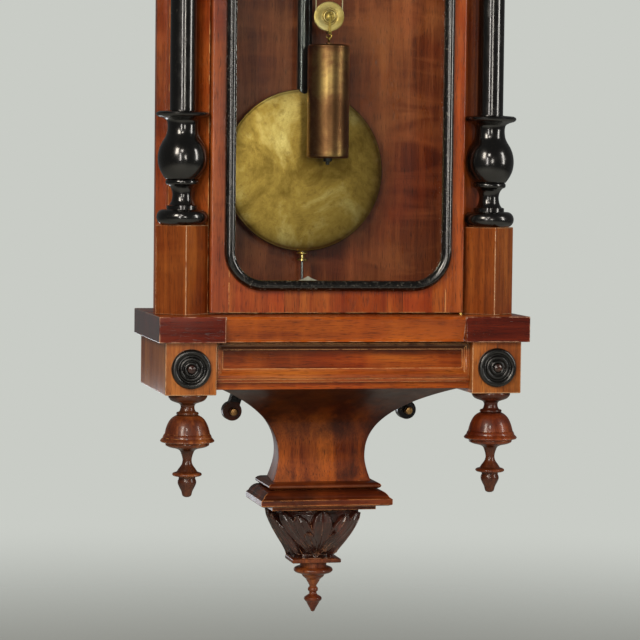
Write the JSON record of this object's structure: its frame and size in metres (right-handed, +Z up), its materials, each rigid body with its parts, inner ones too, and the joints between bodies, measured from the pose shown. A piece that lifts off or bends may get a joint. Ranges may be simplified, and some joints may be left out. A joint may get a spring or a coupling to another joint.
{
  "type": "vienna regulator wall clock",
  "caption": "Tall wall clock case with ebonised columns, glazed hinged door, carved tapering base, single weight, wooden pendulum and round dial.",
  "frame": {"origin": "axis of the hanging hole, on the wall plane at the case's back", "axes": "+X to the viewer's right, +Y from the clock's front into the wall, +Z up"},
  "size_m": [0.458, 0.2018, 1.376],
  "materials": {
    "walnut": "french polished walnut veneer, worn",
    "walnut_dark": "dark red-brown polished walnut",
    "carved_wood": "stained and carved, half matt",
    "ebonised": "ebonised, high gloss",
    "brass": "aged, brushed",
    "weight_brass": "tarnished, polished",
    "steel": "fine ground",
    "blued_steel": "blued, polished",
    "black_iron": "black paint",
    "enamel": "fired white enamel, glossy",
    "glass": "clear old glass",
    "gut": "twisted gut line"
  },
  "bodies": {
    "case": {"backboard": "walnut", "corner_posts": "walnut_dark", "side_panels": "walnut", "side_glasses": "glass", "case_boards": "walnut", "column_blocks": "walnut", "columns": "ebonised", "base_cornice": "walnut_dark", "base_frieze": "walnut", "frieze_moulding": "walnut_dark", "base_blocks": "walnut", "block_rosettes": "ebonised", "drop_finials": "walnut", "corbel": "walnut_dark", "corbel_foot": "walnut", "pendant": "carved_wood", "wall_lugs": "ebonised", "upper_frieze": "walnut", "upper_cornice": "walnut_dark", "crest": "walnut", "top_finials": "walnut", "hanger_plate": "steel", "hinge_pins": "brass", "beat_scale": "enamel", "movement_bracket": "black_iron", "back_plate": "brass", "front_plate": "brass", "plate_pillars": "brass", "dial": "enamel", "dial_bezel": "brass", "suspension_bracket": "brass", "gut_barrel_run": "gut", "gut_fixed_run": "gut"},
    "door": {"door_stiles": "walnut", "door_rails": "walnut", "door_moulding": "ebonised", "door_glass": "glass", "hinge_eyes": "brass"},
    "latch": {"door_latch": "brass"},
    "left_screw": {"levelling_screw_left": "brass"},
    "right_screw": {"levelling_screw_right": "brass"},
    "minute": {"centre_wheel": "brass", "minute_hand": "blued_steel"},
    "hour": {"hour_wheel": "brass", "hour_hand": "blued_steel"},
    "motion": {"motion_wheel": "brass"},
    "great": {"great_wheel": "brass"},
    "third": {"third_wheel": "brass"},
    "escape": {"escape_wheel": "brass"},
    "click": {"click": "steel"},
    "pendulum": {"suspension_spring": "steel", "pendulum_rod": "ebonised", "pendulum_bob": "brass"},
    "anchor": {"pallet_anchor": "steel"},
    "nut": {"rating_nut": "brass"},
    "weight": {"weight": "weight_brass", "stirrup": "brass", "gut_loop": "gut"},
    "barrel": {"barrel": "brass"},
    "pulley": {"pulley": "brass"}
  },
  "joints": [
    {"name": "door_swing", "type": "hinge", "parent": "case", "child": "door", "pos_m": [0.14321, -0.13439, -0.819], "axis": [0, 0, 1], "range_deg": [0, 90]},
    {"name": "latch_turn", "type": "hinge", "parent": "door", "child": "latch", "pos_m": [-0.13831, -0.13, -0.3823], "axis": [0, -1, 0], "range_deg": [0, 90]},
    {"name": "left_screw_slide", "type": "slide", "parent": "case", "child": "left_screw", "axis": [0, 1, 0], "range_m": [-0.006, 0.003]},
    {"name": "right_screw_slide", "type": "slide", "parent": "case", "child": "right_screw", "axis": [0, 1, 0], "range_m": [-0.006, 0.003]},
    {"name": "minute_turn", "type": "hinge", "parent": "case", "child": "minute", "pos_m": [0, -0.075, -0.15755], "axis": [0, 1, 0], "continuous": true},
    {"name": "hour_turn", "type": "hinge", "parent": "case", "child": "hour", "pos_m": [0, -0.075, -0.15755], "axis": [0, 1, 0], "continuous": true},
    {"name": "motion_turn", "type": "hinge", "parent": "case", "child": "motion", "pos_m": [0.00983, -0.075, -0.16443], "axis": [0, 1, 0], "continuous": true},
    {"name": "great_turn", "type": "hinge", "parent": "case", "child": "great", "pos_m": [0, -0.075, -0.19555], "axis": [0, 1, 0], "continuous": true},
    {"name": "third_turn", "type": "hinge", "parent": "case", "child": "third", "pos_m": [0.01074, -0.075, -0.12954], "axis": [0, 1, 0], "continuous": true},
    {"name": "escape_turn", "type": "hinge", "parent": "case", "child": "escape", "pos_m": [-0.014, -0.075, -0.12155], "axis": [0, 1, 0], "continuous": true},
    {"name": "click_lift", "type": "hinge", "parent": "great", "child": "click", "pos_m": [0.0095, -0.075, -0.1791], "axis": [0, 1, 0], "range_deg": [0, 12], "stiffness_Nm_per_rad": 0.01, "springref_deg": -11.46},
    {"name": "pendulum_swing", "type": "hinge", "parent": "case", "child": "pendulum", "pos_m": [-0.02, -0.036, -0.099], "axis": [0, 1, 0], "range_deg": [-2.5, 2.5]},
    {"name": "anchor_rock", "type": "hinge", "parent": "case", "child": "anchor", "pos_m": [-0.02, -0.075, -0.099], "axis": [0, 1, 0], "range_deg": [-2.6, 2.6]},
    {"name": "rating_nut_turn", "type": "hinge", "parent": "pendulum", "child": "nut", "pos_m": [-0.02, -0.036, -0.75898], "axis": [0, 0, 1], "range_deg": [-360, 360]},
    {"name": "weight_travel", "type": "slide", "parent": "case", "child": "weight", "axis": [0, 0, 1], "range_m": [-0.15, 0.2], "deforming": ["gut_barrel_run", "gut_fixed_run"]},
    {"name": "barrel_turn", "type": "hinge", "parent": "case", "child": "barrel", "pos_m": [0, -0.075, -0.19555], "axis": [0, 1, 0], "range_deg": [-1120, 1492]},
    {"name": "pulley_turn", "type": "hinge", "parent": "weight", "child": "pulley", "pos_m": [0, -0.075, -0.48298], "axis": [0, 1, 0], "range_deg": [-560, 746]}
  ],
  "couplings": [
    {"joint": "hour_turn", "follows": "minute_turn", "ratio": 0.083333},
    {"joint": "motion_turn", "follows": "minute_turn", "ratio": -0.33333},
    {"joint": "great_turn", "follows": "minute_turn", "ratio": -0.041667},
    {"joint": "third_turn", "follows": "minute_turn", "ratio": -10},
    {"joint": "escape_turn", "follows": "minute_turn", "ratio": 80},
    {"joint": "anchor_rock", "follows": "pendulum_swing", "ratio": 1},
    {"joint": "barrel_turn", "follows": "weight_travel", "rad_per_m": 129.87},
    {"joint": "pulley_turn", "follows": "weight_travel", "rad_per_m": 64.935}
  ]
}
